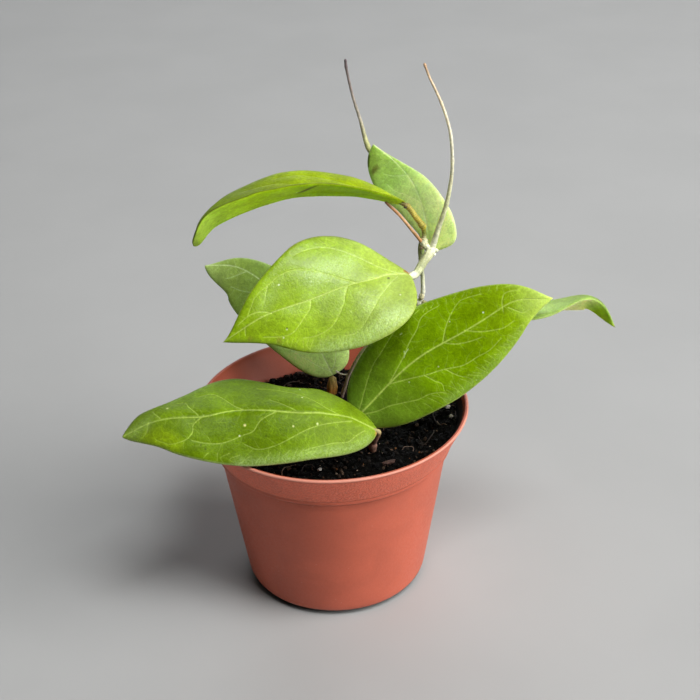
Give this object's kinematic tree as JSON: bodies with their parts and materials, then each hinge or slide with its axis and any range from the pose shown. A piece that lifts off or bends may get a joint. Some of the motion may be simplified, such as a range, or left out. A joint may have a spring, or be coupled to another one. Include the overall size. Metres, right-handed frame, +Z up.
{
  "type": "potted hoya plant",
  "caption": "Small climbing houseplant with thick pointed leaves, a thin vine and bare growing tips, rooted in soil in a thin tapered plastic nursery pot.",
  "frame": {"origin": "middle of the pot's underside, on the surface it stands on", "axes": "+Z up, +X to the right and +Y away from someone who faces the front of the plant"},
  "size_m": [0.1388, 0.0868, 0.1557],
  "materials": {
    "pot": "satin terracotta-coloured plastic with a fine grain",
    "soil": null,
    "blade": null,
    "stem": "smooth pale shoot",
    "rootstock": "dry brown bark",
    "bark": "rough bark",
    "perlite": "chalky white grain"
  },
  "bodies": {
    "root": {"nursery_pot": "pot", "potting_soil": "soil", "bark_chip": "bark", "perlite_grain_1": "perlite", "perlite_grain_2": "perlite", "perlite_grain_3": "perlite", "front_stem": "rootstock", "rear_stem": "rootstock", "aerial_root": "rootstock", "main_vine": "stem", "petiole_front_left": "stem", "petiole_front_right": "stem", "petiole_centre": "stem", "petiole_top_left": "stem", "petiole_top_rear": "stem", "petiole_far_right": "stem", "right_tendril": "stem", "left_tendril": "stem", "surface_rootlet": "stem", "leaf_front_left": "blade", "leaf_front_right": "blade", "leaf_centre": "blade", "leaf_top_left": "blade", "leaf_top_rear": "blade", "leaf_rear_left": "blade", "leaf_far_right": "blade"}
  },
  "joints": []
}
